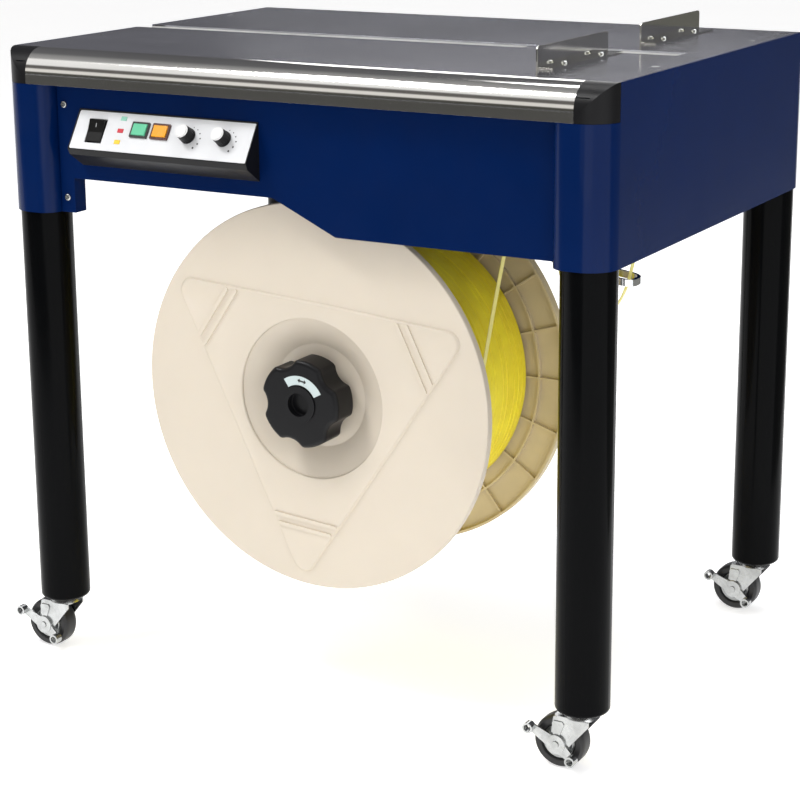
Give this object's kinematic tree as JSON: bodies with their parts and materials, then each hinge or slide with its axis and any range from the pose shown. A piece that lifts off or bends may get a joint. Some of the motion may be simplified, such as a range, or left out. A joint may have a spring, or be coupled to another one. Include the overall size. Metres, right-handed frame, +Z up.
{
  "type": "semi automatic strapping machine",
  "caption": "Table-type strapping machine: steel top with a strap channel on castored legs, sloped control console and a strap reel hung underneath.",
  "frame": {"origin": "on the floor under the middle of the table top", "axes": "+X right along the front edge and the strap channel, +Y to the back, +Z up"},
  "size_m": [0.801, 0.6037, 0.774],
  "materials": {
    "stainless": "polished stainless",
    "channel_steel": "bright stainless",
    "zinc_steel": "bright zinc plate",
    "blue_paint": "smooth powder coat",
    "black_paint": "gloss",
    "grey_frame": "satin",
    "black_plastic": "fine grain",
    "black_gloss": "gloss",
    "white_face": "satin label sheet",
    "lamp_lens": "coloured lens",
    "green_key": "gloss",
    "orange_key": "gloss",
    "cream_plastic": "satin moulding",
    "tan_plastic": "matt moulding",
    "yellow_strap": "embossed polypropylene",
    "machined_steel": "ground",
    "white_nylon": "turned",
    "chrome_bar": "polished",
    "black_rubber": "matt",
    "black_tyre": "satin",
    "motor_paint": "enamel"
  },
  "bodies": {
    "root": {"table_top": "stainless", "table_screws": "zinc_steel", "strap_channel_left": "channel_steel", "strap_channel_right": "channel_steel", "right_side_panel": "blue_paint", "left_side_panel": "blue_paint", "front_panel": "blue_paint", "rear_panel": "blue_paint", "pan_screws": "zinc_steel", "frame_side_rails": "grey_frame", "frame_cross_rails": "grey_frame", "stop_bracket_front": "stainless", "stop_bracket_rear": "stainless", "console_housing": "black_plastic", "console_face": "white_face", "indicator_lamps": "lamp_lens", "caster_stems": "zinc_steel", "reel_shaft": "machined_steel", "reel_bracket": "grey_frame", "strap_run": "yellow_strap", "base_tray": "grey_frame", "head_block": "machined_steel", "drive_motor": "motor_paint", "corner_cap_front_left": "black_plastic", "leg_front_left": "black_paint", "corner_cap_front_right": "black_plastic", "leg_front_right": "black_paint", "corner_cap_rear_left": "black_plastic", "leg_rear_left": "black_paint", "corner_cap_rear_right": "black_plastic", "leg_rear_right": "black_paint"},
    "rocker_switch": {"rocker_switch": "black_gloss"},
    "feed_button": {"feed_button": "green_key"},
    "reset_button": {"reset_button": "orange_key"},
    "feed_knob": {"feed_knob": "black_plastic"},
    "tension_knob": {"tension_knob": "black_plastic"},
    "reel": {"reel_front_flange": "cream_plastic", "reel_rear_flange": "tan_plastic", "strap_coil": "yellow_strap"},
    "reel_knob": {"reel_knob": "black_plastic"},
    "guide_roller": {"guide_roller": "white_nylon"},
    "dancer_arm": {"dancer_arm": "chrome_bar"},
    "feed_roller": {"feed_roller": "black_rubber"},
    "pinch_roller": {"pinch_roller": "machined_steel"},
    "press_head": {"press_head": "machined_steel"},
    "grippers": {"grippers": "machined_steel"},
    "slide_plate": {"slide_plate": "stainless"},
    "camshaft": {"camshaft": "machined_steel"},
    "caster_fork_front_left": {"caster_fork_front_left": "zinc_steel"},
    "caster_wheel_front_left": {"caster_wheel_front_left": "black_tyre"},
    "brake_lever_front_left": {"brake_lever_front_left": "zinc_steel"},
    "caster_fork_front_right": {"caster_fork_front_right": "zinc_steel"},
    "caster_wheel_front_right": {"caster_wheel_front_right": "black_tyre"},
    "brake_lever_front_right": {"brake_lever_front_right": "zinc_steel"},
    "caster_fork_rear_left": {"caster_fork_rear_left": "zinc_steel"},
    "caster_wheel_rear_left": {"caster_wheel_rear_left": "black_tyre"},
    "brake_lever_rear_left": {"brake_lever_rear_left": "zinc_steel"},
    "caster_fork_rear_right": {"caster_fork_rear_right": "zinc_steel"},
    "caster_wheel_rear_right": {"caster_wheel_rear_right": "black_tyre"},
    "brake_lever_rear_right": {"brake_lever_rear_right": "zinc_steel"}
  },
  "joints": [
    {"name": "reel_spin", "type": "hinge", "parent": "root", "child": "reel", "pos_m": [0.007, -0.15, 0.368], "axis": [0, 1, 0], "continuous": true},
    {"name": "reel_knob_turn", "type": "hinge", "parent": "reel", "child": "reel_knob", "pos_m": [0.007, -0.26, 0.368], "axis": [0, 1, 0], "continuous": true},
    {"name": "dancer_swing", "type": "hinge", "parent": "root", "child": "dancer_arm", "pos_m": [0.15, -0.015, 0.585], "axis": [0, -1, 0], "range_deg": [0, 12]},
    {"name": "guide_roller_spin", "type": "hinge", "parent": "root", "child": "guide_roller", "pos_m": [0.212, -0.1, 0.64], "axis": [0, 1, 0], "continuous": true},
    {"name": "feed_roller_spin", "type": "hinge", "parent": "root", "child": "feed_roller", "pos_m": [0.276, -0.015, 0.672], "axis": [0, 1, 0], "continuous": true},
    {"name": "pinch_roller_spin", "type": "hinge", "parent": "root", "child": "pinch_roller", "pos_m": [0.321, -0.015, 0.672], "axis": [0, 1, 0], "continuous": true},
    {"name": "camshaft_turn", "type": "hinge", "parent": "root", "child": "camshaft", "pos_m": [0.17, -0.015, 0.632], "axis": [1, 0, 0], "continuous": true},
    {"name": "press_head_lift", "type": "slide", "parent": "root", "child": "press_head", "axis": [0, 0, 1], "range_m": [0, 0.005], "stiffness_N_per_m": 600},
    {"name": "gripper_lift", "type": "slide", "parent": "root", "child": "grippers", "axis": [0, 0, 1], "range_m": [0, 0.005], "stiffness_N_per_m": 600},
    {"name": "slide_plate_retract", "type": "slide", "parent": "root", "child": "slide_plate", "axis": [0, 1, 0], "range_m": [0, 0.029], "stiffness_N_per_m": 60},
    {"name": "rocker_tilt", "type": "hinge", "parent": "root", "child": "rocker_switch", "pos_m": [-0.254, -0.28824, 0.65914], "axis": [-1, 0, 0], "range_deg": [0, 14]},
    {"name": "feed_button_press", "type": "slide", "parent": "root", "child": "feed_button", "axis": [0, 0.8492, -0.5281], "range_m": [0, 0.003], "stiffness_N_per_m": 300},
    {"name": "reset_button_press", "type": "slide", "parent": "root", "child": "reset_button", "axis": [0, 0.8492, -0.5281], "range_m": [0, 0.003], "stiffness_N_per_m": 300},
    {"name": "feed_knob_turn", "type": "hinge", "parent": "root", "child": "feed_knob", "pos_m": [-0.126, -0.29271, 0.66521], "axis": [0, -0.8492, 0.5281], "range_deg": [-135, 135]},
    {"name": "tension_knob_turn", "type": "hinge", "parent": "root", "child": "tension_knob", "pos_m": [-0.078, -0.29271, 0.66521], "axis": [0, -0.8492, 0.5281], "range_deg": [-135, 135]},
    {"name": "caster_swivel_front_left", "type": "hinge", "parent": "root", "child": "caster_fork_front_left", "pos_m": [-0.354, -0.264, 0.064], "axis": [0, 0, 1], "continuous": true},
    {"name": "wheel_spin_front_left", "type": "hinge", "parent": "caster_fork_front_left", "child": "caster_wheel_front_left", "pos_m": [-0.377, -0.264, 0.03], "axis": [0, 1, 0], "continuous": true},
    {"name": "brake_front_left", "type": "hinge", "parent": "caster_fork_front_left", "child": "brake_lever_front_left", "pos_m": [-0.377, -0.282, 0.03], "axis": [0, 1, 0], "range_deg": [0, 20]},
    {"name": "caster_swivel_front_right", "type": "hinge", "parent": "root", "child": "caster_fork_front_right", "pos_m": [0.354, -0.264, 0.064], "axis": [0, 0, 1], "continuous": true},
    {"name": "wheel_spin_front_right", "type": "hinge", "parent": "caster_fork_front_right", "child": "caster_wheel_front_right", "pos_m": [0.331, -0.264, 0.03], "axis": [0, 1, 0], "continuous": true},
    {"name": "brake_front_right", "type": "hinge", "parent": "caster_fork_front_right", "child": "brake_lever_front_right", "pos_m": [0.331, -0.282, 0.03], "axis": [0, 1, 0], "range_deg": [0, 20]},
    {"name": "caster_swivel_rear_left", "type": "hinge", "parent": "root", "child": "caster_fork_rear_left", "pos_m": [-0.354, 0.264, 0.064], "axis": [0, 0, 1], "continuous": true},
    {"name": "wheel_spin_rear_left", "type": "hinge", "parent": "caster_fork_rear_left", "child": "caster_wheel_rear_left", "pos_m": [-0.377, 0.264, 0.03], "axis": [0, 1, 0], "continuous": true},
    {"name": "brake_rear_left", "type": "hinge", "parent": "caster_fork_rear_left", "child": "brake_lever_rear_left", "pos_m": [-0.377, 0.246, 0.03], "axis": [0, 1, 0], "range_deg": [0, 20]},
    {"name": "caster_swivel_rear_right", "type": "hinge", "parent": "root", "child": "caster_fork_rear_right", "pos_m": [0.354, 0.264, 0.064], "axis": [0, 0, 1], "continuous": true},
    {"name": "wheel_spin_rear_right", "type": "hinge", "parent": "caster_fork_rear_right", "child": "caster_wheel_rear_right", "pos_m": [0.331, 0.264, 0.03], "axis": [0, 1, 0], "continuous": true},
    {"name": "brake_rear_right", "type": "hinge", "parent": "caster_fork_rear_right", "child": "brake_lever_rear_right", "pos_m": [0.331, 0.246, 0.03], "axis": [0, 1, 0], "range_deg": [0, 20]}
  ],
  "couplings": [
    {"joint": "pinch_roller_spin", "follows": "feed_roller_spin", "ratio": -1.8667}
  ]
}
